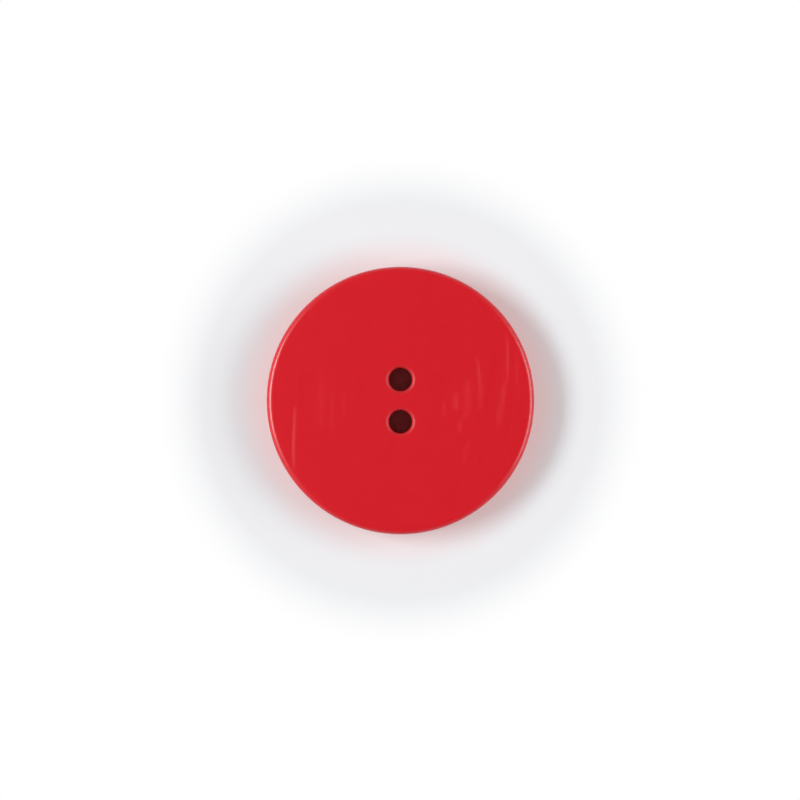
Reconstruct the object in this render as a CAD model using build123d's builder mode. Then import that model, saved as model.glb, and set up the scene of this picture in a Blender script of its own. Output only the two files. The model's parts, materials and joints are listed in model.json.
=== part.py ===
"""A round two-hole sewing button, turned from one blank of dyed polyamide.

The button lies on its back with its face up. The origin is the centre of the
flat back, +Z points out of the face and the two thread holes lie along Y.
All sizes are in millimetres.
"""

import os

from build123d import *

# The disc
button_diameter = 25.4  # 40 ligne in the button trade, or one inch
button_thickness = 3.2
rim_radius = 0.6  # round from the face into the side
back_radius = 0.5  # round from the side into the back

# The thread holes
hole_count = 2
hole_diameter = 2.2
hole_spacing = 4.0  # from centre to centre
face_lip_radius = 0.35  # eased edge that the thread bends over, on the face
back_lip_radius = 0.2  # the same edge on the back

# The disc is its half section turned about the Z axis. The two outer corners
# of the section carry the rounds, and each is picked just before it is rounded.
with BuildPart() as button:
    with BuildSketch(Plane.XZ) as half_section:
        Rectangle(button_diameter / 2, button_thickness, align=Align.MIN)
        back_corner = half_section.vertices().group_by(Axis.Y)[0].sort_by(Axis.X)[-1]
        fillet(back_corner, back_radius)
        rim_corner = half_section.vertices().group_by(Axis.Y)[-1].sort_by(Axis.X)[-1]
        fillet(rim_corner, rim_radius)
    revolve(axis=Axis.Z)

    # The holes go right through, side by side along Y.
    with GridLocations(hole_spacing, hole_spacing, 1, hole_count):
        Hole(hole_diameter / 2)

    # The mouths of the holes are the inner outlines of the two flat faces.
    back, face = button.faces().filter_by(Plane.XY).sort_by(Axis.Z)
    fillet(face.inner_wires().edges(), face_lip_radius)
    fillet(back.inner_wires().edges(), back_lip_radius)

button.part.label = "button"
os.makedirs("parts", exist_ok=True)
export_step(button.part, "parts/button.step")
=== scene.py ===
"""The look of a red two-hole sewing button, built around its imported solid.

The button is turned from one blank of polyamide, sanded across its face and dyed. It lies
face up on a pale floor between two soft lamps, and the camera looks straight down on it.
The frame is the solid's own: metres, +Z out of the face, the thread holes along Y.
"""

import json

import bmesh
import bpy
import numpy as np
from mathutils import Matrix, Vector


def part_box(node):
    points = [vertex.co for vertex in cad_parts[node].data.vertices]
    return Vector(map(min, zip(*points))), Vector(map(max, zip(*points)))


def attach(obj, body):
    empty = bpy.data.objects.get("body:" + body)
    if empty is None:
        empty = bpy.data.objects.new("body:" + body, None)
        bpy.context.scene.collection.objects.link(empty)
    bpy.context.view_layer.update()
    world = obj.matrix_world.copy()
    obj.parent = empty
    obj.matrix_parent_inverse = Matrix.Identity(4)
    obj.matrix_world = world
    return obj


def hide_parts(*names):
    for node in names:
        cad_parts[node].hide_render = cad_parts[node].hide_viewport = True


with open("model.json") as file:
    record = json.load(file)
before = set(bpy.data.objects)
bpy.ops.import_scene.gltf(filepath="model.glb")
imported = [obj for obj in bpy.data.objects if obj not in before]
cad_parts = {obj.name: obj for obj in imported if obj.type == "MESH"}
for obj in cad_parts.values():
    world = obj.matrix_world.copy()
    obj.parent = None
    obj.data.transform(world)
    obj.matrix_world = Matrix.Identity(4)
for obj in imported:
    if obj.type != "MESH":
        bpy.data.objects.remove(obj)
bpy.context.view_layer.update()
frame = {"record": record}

mm = 0.001
micron = 0.000001

# The disc and its thread holes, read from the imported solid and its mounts
box_low, box_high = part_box("button")
disc_radius = (box_high.x - box_low.x) / 2
thickness = box_high.z - box_low.z
mounts = {mount["name"]: mount for mount in frame["record"]["mounts"]}
thread_hole = mounts["thread_hole_upper"]
hole_radius = thread_hole["dims"]["r_mm"] * mm
hole_offset = thread_hole["pos_m"][1]
wall_middle = thread_hole["pos_m"][2]
wall_length = thread_hole["dims"]["length_mm"] * mm
back_lip = wall_middle - wall_length / 2
face_lip = thickness - wall_middle - wall_length / 2

# Rounds of the disc's outer edge
rim_round = 0.6 * mm
back_round = 0.5 * mm

# How finely the surface is divided
turn_steps = 320
middle_steps = 96
face_steps = 80
rim_steps = 16
side_steps = 6
back_round_steps = 10
back_steps = 40
lip_steps = 8
wall_steps = 7
hole_face_steps = 34
hole_back_steps = 14
seam_radius = 4.4 * mm  # ring where the turned outer zone meets the two zones round the holes
merge_distance = 0.1 * micron

# The spiral that the turning tool leaves, finest on the face
face_pitch = 0.48 * mm
face_turning_depth = 0.8 * micron
back_pitch = 0.9 * mm
back_turning_depth = 9 * micron

# Shallow strokes that sanding left across the face, with a paler red painted along them as painted
# sheen: the height (y) of the upper and lower end, the place (x) of the upper end, middle and lower end,
# and the half width, all in mm, and the depth in microns
sanding_strokes = (
    (-0.4, -6.9, (-9.98, -10.13, -10.12), 0.13, 6.1),
    (2.3, -3.0, (-7.48, -7.52, -7.50), 0.42, 0.8),
    (1.2, -3.0, (-6.50, -6.52, -6.48), 0.20, 1.9),
    (0.7, -1.3, (-5.36, -5.36, -5.36), 0.18, 0.6),
    (0.1, -1.7, (4.12, 4.12, 4.12), 0.17, 2.1),
    (0.9, -1.1, (5.22, 5.24, 5.26), 0.30, 2.5),
    (2.0, -1.9, (6.28, 6.30, 6.22), 0.34, 2.0),
    (-1.7, -3.2, (5.62, 5.61, 5.60), 0.18, 2.0),
    (4.4, -1.1, (7.12, 7.55, 7.50), 0.19, 2.2),
    (2.1, -2.9, (9.97, 9.57, 9.13), 0.27, 2.2),
    (6.4, 1.6, (10.06, 10.15, 10.06), 0.12, 3.0),
    (4.2, 1.4, (11.02, 11.02, 11.00), 0.15, 0.9),
    (-3.4, -6.0, (6.52, 6.22, 5.92), 0.20, 1.5),
)
full_sheen_depth = 12 * micron  # a stroke this deep would show all of its painted sheen

# The photograph's frame in pixels, and the button's outline in it
frame_px = 800
outline_px = 267.5
outline_centre_px = (400.4, 400.6)

# Places of a Mix node's two inputs and of its result, for numbers and for colours
number_a, number_b, mixed_number = 2, 3, 0
colour_a, colour_b, mixed_colour = 6, 7, 2


def strokes_at(x, y):
    """Depth of the sanding strokes at each point (x, y) of the face.

    A stroke follows a parabola through its three places. Its depth falls off across the stroke as a
    bell curve, and along it as one minus the fourth power of the way from its middle to an end.
    """
    depth = np.zeros_like(x)
    for upper, lower, places, half_width, stroke_depth in sanding_strokes:
        way = (upper + lower - 2 * y / mm) / (upper - lower)
        bend = (places[0] + places[2]) / 2 - places[1]
        lean = (places[2] - places[0]) / 2
        middle = places[1] + lean * way + bend * way**2
        across = np.exp(-(((x / mm - middle) / half_width) ** 2))
        depth += stroke_depth * micron * across * np.clip(1 - way**4, 0, 1)
    return depth


def spiral_at(x, y, pitch):
    """A turning spiral at each point (x, y), 0 on its crests and 1 in its groove.

    Its depth is one minus the cosine of the angle turned, halved. The angle grows by a full turn for
    each pitch outwards, less the point's own angle about the axis.
    """
    turns = np.hypot(x, y) / pitch - np.arctan2(y, x) / (2 * np.pi)
    return (1 - np.cos(2 * np.pi * turns)) / 2


def closed_grid_quads(rows, columns, first):
    """Corners of each square in a grid of points whose last column meets its first."""
    index = first + np.arange(rows * columns).reshape(rows, columns)
    after = np.roll(index, -1, axis=1)
    return np.stack((index[:-1], index[1:], after[1:], after[:-1]), axis=-1).reshape(-1, 4)


def turned_shell():
    """The disc outside the seam ring: a half section carried once round the Z axis.

    The section runs out over the face, round the rim by a quarter circle, down the side, round the
    back edge by a quarter circle and in over the back. A point of it at distance d and height h
    becomes (d cos a, d sin a, h) at each angle a.
    """
    rim_turn = np.linspace(0, np.pi / 2, rim_steps + 1)
    back_turn = np.linspace(0, np.pi / 2, back_round_steps + 1)
    face = np.linspace(seam_radius, disc_radius - rim_round, face_steps + 1)[:-1]
    side = np.linspace(thickness - rim_round, back_round, side_steps + 1)[1:-1]
    back = np.linspace(disc_radius - back_round, seam_radius, back_steps + 1)[1:]
    distance = np.concatenate((
        face,
        disc_radius - rim_round + rim_round * np.sin(rim_turn),
        np.full_like(side, disc_radius),
        disc_radius - back_round + back_round * np.cos(back_turn),
        back,
    ))[:, None]
    height = np.concatenate((
        np.full_like(face, thickness),
        thickness - rim_round + rim_round * np.cos(rim_turn),
        side,
        back_round - back_round * np.sin(back_turn),
        np.zeros_like(back),
    ))[:, None]
    turn = np.arange(turn_steps) * 2 * np.pi / turn_steps
    return np.stack((distance * np.cos(turn), distance * np.sin(turn), height + 0 * turn), axis=-1)


def hole_zone(side):
    """The half disc inside the seam ring with one thread hole in it.

    The side is 1 for the half above the X axis and -1 for the half below it. Each column of the grid
    follows a spoke from the hole's centre to a point of the half disc's edge. It runs in along the
    back, round the back lip by a quarter circle, up the wall, round the face lip by a quarter circle
    and out along the face.
    """
    centre = np.array((0, side * hole_offset))
    turn = np.arange(turn_steps // 2 + 1) * 2 * np.pi / turn_steps + (0 if side > 0 else np.pi)
    cut = side * np.linspace(-seam_radius, seam_radius, middle_steps + 1)[1:-1]
    edge = np.concatenate((
        seam_radius * np.stack((np.cos(turn), np.sin(turn)), axis=1),
        np.stack((cut, np.zeros_like(cut)), axis=1),
    ))
    spoke = edge - centre
    reach = np.linalg.norm(spoke, axis=1)
    spoke = spoke / reach[:, None]
    lip_turn = np.linspace(0, np.pi / 2, lip_steps + 1)
    inward_share = np.linspace(1, 0, hole_back_steps + 1)[:, None]
    outward_share = np.linspace(0, 1, hole_face_steps + 1)[1:, None]
    wall = np.linspace(back_lip, thickness - face_lip, wall_steps + 1)[1:-1]
    back_edge = hole_radius + back_lip
    face_edge = hole_radius + face_lip
    distance = np.concatenate((
        back_edge + inward_share * (reach - back_edge),
        (back_edge - back_lip * np.sin(lip_turn[1:]))[:, None] + 0 * reach,
        np.full_like(wall, hole_radius)[:, None] + 0 * reach,
        (face_edge - face_lip * np.cos(lip_turn))[:, None] + 0 * reach,
        face_edge + outward_share * (reach - face_edge),
    ))
    height = np.concatenate((
        np.zeros(len(inward_share)),
        back_lip - back_lip * np.cos(lip_turn[1:]),
        wall,
        thickness - face_lip + face_lip * np.sin(lip_turn),
        np.full(len(outward_share), thickness),
    ))
    points = centre + distance[:, :, None] * spoke
    return np.concatenate((points, np.broadcast_to(height[:, None, None], (*distance.shape, 1))), axis=2)


def merge_seams(mesh):
    """Joins the points of neighbouring grids that lie on the same spot."""
    work = bmesh.new()
    work.from_mesh(mesh)
    bmesh.ops.remove_doubles(work, verts=work.verts, dist=merge_distance)
    work.to_mesh(mesh)
    work.free()


def make_button():
    """Joins the shell and the two hole zones along their seams and cuts the tools' marks.

    The sanding_stroke attribute is the strokes' depth as a share of the one that shows all of its
    painted sheen. The sanded attribute is 1 on the face and falls to 0 down the rim's round. The
    hole_wall attribute is the share of the way in from a face lip's outer edge to the wall.
    """
    points, quads, first = [], [], 0
    for grid in (turned_shell(), hole_zone(1), hole_zone(-1)):
        rows, columns, _ = grid.shape
        points.append(grid.reshape(-1, 3))
        quads.append(closed_grid_quads(rows, columns, first))
        first += rows * columns
    points, quads = np.concatenate(points), np.concatenate(quads)
    x, y, z = points.T.copy()
    on_face = z > thickness - merge_distance
    on_back = z < merge_distance
    strokes = strokes_at(x, y) * on_face
    points[:, 2] -= strokes + face_turning_depth * spiral_at(x, y, face_pitch) * on_face
    points[:, 2] += back_turning_depth * spiral_at(x, y, back_pitch) * on_back
    from_hole = np.hypot(x, np.abs(y) - hole_offset)
    way_in = np.clip(1 - (from_hole - hole_radius) / face_lip, 0, 1)
    sanded = np.clip(1 - (thickness - z) / rim_round, 0, 1)

    mesh = bpy.data.meshes.new("turned_button")
    mesh.from_pydata(points, [], quads)
    layers = {
        "sanding_stroke": strokes / full_sheen_depth,
        "sanded": sanded,
        "hole_wall": way_in,
    }
    for name, values in layers.items():
        mesh.attributes.new(name, "FLOAT", "POINT").data.foreach_set("value", values)
    merge_seams(mesh)
    mesh.shade_smooth()
    button = bpy.data.objects.new("turned_button", mesh)
    bpy.context.scene.collection.objects.link(button)
    return button


def linear(hex_colour):
    """Linear red, green, blue and alpha of an sRGB hex colour such as #C81420, by the sRGB curve."""
    encoded = np.array([int(hex_colour[i:i + 2], 16) for i in (1, 3, 5)]) / 255
    decoded = np.where(encoded <= 0.04045, encoded / 12.92, ((encoded + 0.055) / 1.055) ** 2.4)
    return (*decoded.tolist(), 1.0)


def add_node(tree, kind, inputs=None, **settings):
    """Adds a node, sets its properties, and gives each named input a value or a link."""
    node = tree.nodes.new(kind)
    for name, value in settings.items():
        setattr(node, name, value)
    for name, value in (inputs or {}).items():
        if isinstance(value, bpy.types.NodeSocket):
            tree.links.new(value, node.inputs[name])
        else:
            node.inputs[name].default_value = value
    return node


def dyed_polyamide():
    """Polyamide, turned on a lathe, sanded along Y, dyed in a bath and tumbled to a satin finish.

    It gives an even, deep red with a broad soft sheen and a little light scattered under the surface.
    Sanding leaves hairlines and a few shallow strokes on the face, with a paler red painted along
    them as painted sheen; the lathe leaves fine rings round the side and on the back; and the
    drilled holes are painted a darker red as painted shade.
    """
    hair_width, hair_length = 0.2 * mm, 5 * mm  # a real hairline is ten times finer and wouldn't show
    ring_width = 0.25 * mm
    dye_patch = 3 * mm
    hair_height, ring_height = 3.5 * micron, 40 * micron
    mark_detail = 2.0
    noise_low, noise_high = 0.3, 0.7  # nearly all of the noise lies between these
    faint_share, strong_share = 0.4, 1.6  # how far a stroke breaks up along the hairlines
    dye_red, lighter_dye_red = linear("#CF1723"), linear("#D31926")
    # Painted sheen and painted shade: the paler red along the strokes stands for lamp sheen on them, the
    # darker red in the holes for the shade in them
    stroke_sheen_red, hole_shade_red = linear("#E74855"), linear("#BE101B")
    smooth_satin, rough_satin, drilled_roughness = 0.29, 0.39, 0.7
    polyamide_ior = 1.53
    scatter_share, scatter_by_colour, scatter_reach = 0.3, (1.0, 0.2, 0.12), 1.2 * mm

    material = bpy.data.materials.new("dyed_polyamide_sanded_satin")
    material.use_nodes = True
    tree = material.node_tree
    tree.nodes.clear()
    place = add_node(tree, "ShaderNodeTexCoord").outputs["Object"]
    stroke = add_node(tree, "ShaderNodeAttribute", attribute_name="sanding_stroke").outputs["Fac"]
    sanded = add_node(tree, "ShaderNodeAttribute", attribute_name="sanded").outputs["Fac"]
    in_hole = add_node(tree, "ShaderNodeAttribute", attribute_name="hole_wall").outputs["Fac"]

    along_y = add_node(tree, "ShaderNodeMapping", {
        "Vector": place,
        "Scale": (1 / hair_width, 1 / hair_length, 1 / hair_length),
    }).outputs["Vector"]
    hairs = add_node(tree, "ShaderNodeTexNoise", {
        "Vector": along_y,
        "Scale": 1.0,
        "Detail": mark_detail,
    }).outputs["Fac"]
    level = add_node(tree, "ShaderNodeMapping", {"Vector": place, "Scale": (1, 1, 0)}).outputs["Vector"]
    from_axis = add_node(tree, "ShaderNodeVectorMath", {0: level}, operation="LENGTH").outputs["Value"]
    height = add_node(tree, "ShaderNodeSeparateXYZ", {"Vector": place}).outputs["Z"]
    section = add_node(tree, "ShaderNodeCombineXYZ", {"X": from_axis, "Y": height}).outputs["Vector"]
    rings = add_node(tree, "ShaderNodeTexNoise", {
        "Vector": section,
        "Scale": 1 / ring_width,
        "Detail": mark_detail,
    }).outputs["Fac"]
    marks = add_node(tree, "ShaderNodeMix", {
        "Factor": sanded,
        number_a: rings,
        number_b: hairs,
    }).outputs[mixed_number]
    dye = add_node(tree, "ShaderNodeTexNoise", {"Vector": place, "Scale": 1 / dye_patch}).outputs["Fac"]

    even_red = add_node(tree, "ShaderNodeMix", {
        "Factor": dye,
        colour_a: dye_red,
        colour_b: lighter_dye_red,
    }, data_type="RGBA").outputs[mixed_colour]
    broken = add_node(tree, "ShaderNodeMapRange", {
        "Value": hairs,
        "From Min": noise_low,
        "From Max": noise_high,
        "To Min": faint_share,
        "To Max": strong_share,
    }).outputs["Result"]
    # Painted sheen: a paler red laid along the strokes, broken up along the hairlines
    pale = add_node(tree, "ShaderNodeMath", {
        0: stroke,
        1: broken,
    }, operation="MULTIPLY").outputs["Value"]
    sheen_stroked_red = add_node(tree, "ShaderNodeMix", {
        "Factor": pale,
        colour_a: even_red,
        colour_b: stroke_sheen_red,
    }, data_type="RGBA").outputs[mixed_colour]
    # Painted shade: the hole walls take a darker red, as the shade inside the holes
    colour = add_node(tree, "ShaderNodeMix", {
        "Factor": in_hole,
        colour_a: sheen_stroked_red,
        colour_b: hole_shade_red,
    }, data_type="RGBA").outputs[mixed_colour]
    satin = add_node(tree, "ShaderNodeMapRange", {
        "Value": marks,
        "To Min": smooth_satin,
        "To Max": rough_satin,
    }).outputs["Result"]
    roughness = add_node(tree, "ShaderNodeMix", {
        "Factor": in_hole,
        number_a: satin,
        number_b: drilled_roughness,
    }).outputs[mixed_number]
    depth = add_node(tree, "ShaderNodeMix", {
        "Factor": sanded,
        number_a: ring_height,
        number_b: hair_height,
    }).outputs[mixed_number]
    relief = add_node(tree, "ShaderNodeBump", {"Height": marks, "Distance": depth}).outputs["Normal"]
    shader = add_node(tree, "ShaderNodeBsdfPrincipled", {
        "Base Color": colour,
        "Roughness": roughness,
        "IOR": polyamide_ior,
        "Normal": relief,
        "Subsurface Weight": scatter_share,
        "Subsurface Radius": scatter_by_colour,
        "Subsurface Scale": scatter_reach,
    })
    add_node(tree, "ShaderNodeOutputMaterial", {"Surface": shader.outputs["BSDF"]})
    return material


def pale_floor():
    """A plain matt floor, pale near the button and fading to white away from it.

    Beside the button the shadow is lifted with a pink that stands for light off its red side. The
    lift sets in under the back's round, so that no edge shows where the button touches the floor.
    """
    reach = 0.6
    fade_from, fade_to = 16 * mm, 24 * mm
    shadow_lift = 0.32  # share of the glow in the shadow beside the button
    glow_reach = 4 * mm
    card_grey = linear("#DFE1E5")
    glow_pink, glow_white = linear("#FFD2CE"), linear("#FFFFFF")

    corners = [(-reach, -reach, 0), (reach, -reach, 0), (reach, reach, 0), (-reach, reach, 0)]
    mesh = bpy.data.meshes.new("floor")
    mesh.from_pydata(corners, [], [(0, 1, 2, 3)])
    floor = bpy.data.objects.new("floor", mesh)
    bpy.context.scene.collection.objects.link(floor)

    material = bpy.data.materials.new("pale_matt_card")
    material.use_nodes = True
    tree = material.node_tree
    tree.nodes.clear()
    place = add_node(tree, "ShaderNodeTexCoord").outputs["Object"]
    away = add_node(tree, "ShaderNodeVectorMath", {0: place}, operation="LENGTH").outputs["Value"]
    fade = add_node(tree, "ShaderNodeMapRange", {
        "Value": away,
        "From Min": fade_from,
        "From Max": fade_to,
    }, interpolation_type="SMOOTHSTEP").outputs["Result"]
    seen = add_node(tree, "ShaderNodeLightPath").outputs["Is Camera Ray"]
    lift = add_node(tree, "ShaderNodeMapRange", {
        "Value": away,
        "From Min": disc_radius - back_round,
        "From Max": disc_radius,
        "To Max": shadow_lift,
    }, interpolation_type="SMOOTHSTEP").outputs["Result"]
    lifted = add_node(tree, "ShaderNodeMath", {0: fade, 1: lift}, operation="MAXIMUM").outputs["Value"]
    sweep_share = add_node(tree, "ShaderNodeMath", {
        0: lifted,
        1: seen,
    }, operation="MULTIPLY").outputs["Value"]
    card = add_node(tree, "ShaderNodeBsdfDiffuse", {"Color": card_grey}).outputs["BSDF"]
    paling = add_node(tree, "ShaderNodeMapRange", {
        "Value": away,
        "From Min": disc_radius,
        "From Max": disc_radius + glow_reach,
    }, interpolation_type="SMOOTHSTEP").outputs["Result"]
    glow = add_node(tree, "ShaderNodeMix", {
        "Factor": paling,
        colour_a: glow_pink,
        colour_b: glow_white,
    }, data_type="RGBA").outputs[mixed_colour]
    sweep = add_node(tree, "ShaderNodeEmission", {"Color": glow}).outputs["Emission"]
    shader = add_node(tree, "ShaderNodeMixShader", {
        0: sweep_share,
        1: card,
        2: sweep,
    }).outputs["Shader"]
    add_node(tree, "ShaderNodeOutputMaterial", {"Surface": shader})
    mesh.materials.append(material)


def soft_lamp(name, place, watts, length, height):
    """A soft box at a place, facing the button, with its length level."""
    light = bpy.data.lights.new(name, "AREA")
    light.shape = "RECTANGLE"
    light.size, light.size_y = length, height
    light.energy = watts
    lamp = bpy.data.objects.new(name, light)
    lamp.location = place
    lamp.rotation_euler = (-Vector(place)).to_track_quat("-Z", "Y").to_euler()
    lamp.visible_camera = False
    bpy.context.scene.collection.objects.link(lamp)


def studio():
    """Two lamps, left and right, a dim fill from low all round and a camera straight above."""
    low_fill, high_fill = 0.5, 0.02  # strength of the fill at the horizon and overhead
    fill_top = 0.8  # height in the sky, where the zenith is 1, from which the fill is the overhead one
    seen_white = 1.0  # strength of the plain white that the camera sees past the floor
    focal_length = 100  # in mm, as the camera takes it
    nearest_seen = 1 * mm
    soft_lamp("left_lamp", place=(-0.36, 0.03, 0.29), watts=2.18, length=0.28, height=0.12)
    soft_lamp("right_lamp", place=(0.40, 0.00, 0.23), watts=1.70, length=0.40, height=0.20)

    scene = bpy.context.scene
    scene.view_settings.view_transform = "Standard"
    scene.world = bpy.data.worlds.new("studio")
    scene.world.use_nodes = True
    tree = scene.world.node_tree
    tree.nodes.clear()
    seen = add_node(tree, "ShaderNodeLightPath").outputs["Is Camera Ray"]
    direction = add_node(tree, "ShaderNodeTexCoord").outputs["Generated"]
    rise = add_node(tree, "ShaderNodeSeparateXYZ", {"Vector": direction}).outputs["Z"]
    sky = add_node(tree, "ShaderNodeMapRange", {
        "Value": rise,
        "From Max": fill_top,
        "To Min": low_fill,
        "To Max": high_fill,
    }).outputs["Result"]
    strength = add_node(tree, "ShaderNodeMix", {
        "Factor": seen,
        number_a: sky,
        number_b: seen_white,
    }).outputs[mixed_number]
    light = add_node(tree, "ShaderNodeBackground", {
        "Color": linear("#FFFFFF"),
        "Strength": strength,
    }).outputs["Background"]
    add_node(tree, "ShaderNodeOutputWorld", {"Surface": light})

    lens = bpy.data.cameras.new("camera")
    lens.lens = focal_length
    lens.clip_start = nearest_seen
    pixel = 2 * disc_radius / outline_px
    distance = frame_px * pixel * lens.lens / lens.sensor_width
    camera = bpy.data.objects.new("camera", lens)
    camera.location = (
        (frame_px / 2 - outline_centre_px[0]) * pixel,
        (outline_centre_px[1] - frame_px / 2) * pixel,
        thickness - rim_round + distance,
    )
    scene.collection.objects.link(camera)
    scene.camera = camera


button = make_button()
button.data.materials.append(dyed_polyamide())
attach(button, "root")
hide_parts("button")
pale_floor()
studio()
